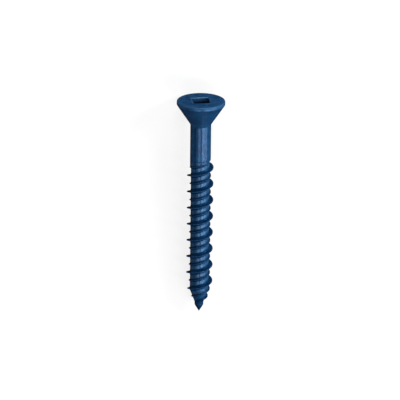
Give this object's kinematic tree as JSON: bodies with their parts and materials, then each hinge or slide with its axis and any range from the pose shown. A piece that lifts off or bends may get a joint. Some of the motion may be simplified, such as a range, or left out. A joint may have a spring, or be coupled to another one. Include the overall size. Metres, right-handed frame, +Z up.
{
  "type": "concrete screw",
  "caption": "Screw for masonry with a flat countersunk head, a square drive socket, a short plain shank, a twin high and low thread and a pinched point.",
  "frame": {"origin": "centre of the bounding box in X and Y, on the ground the screw lies on", "axes": "+Y along the screw from its point towards its head, +Z up from the ground; the screw lies tilted on the rim of its head and a crest of its thread"},
  "size_m": [0.0096, 0.0446, 0.0096],
  "materials": {
    "blue_coating": "semi-matte corrosion-resistant coating on hardened steel"
  },
  "bodies": {
    "root": {"screw": "blue_coating"}
  },
  "joints": []
}
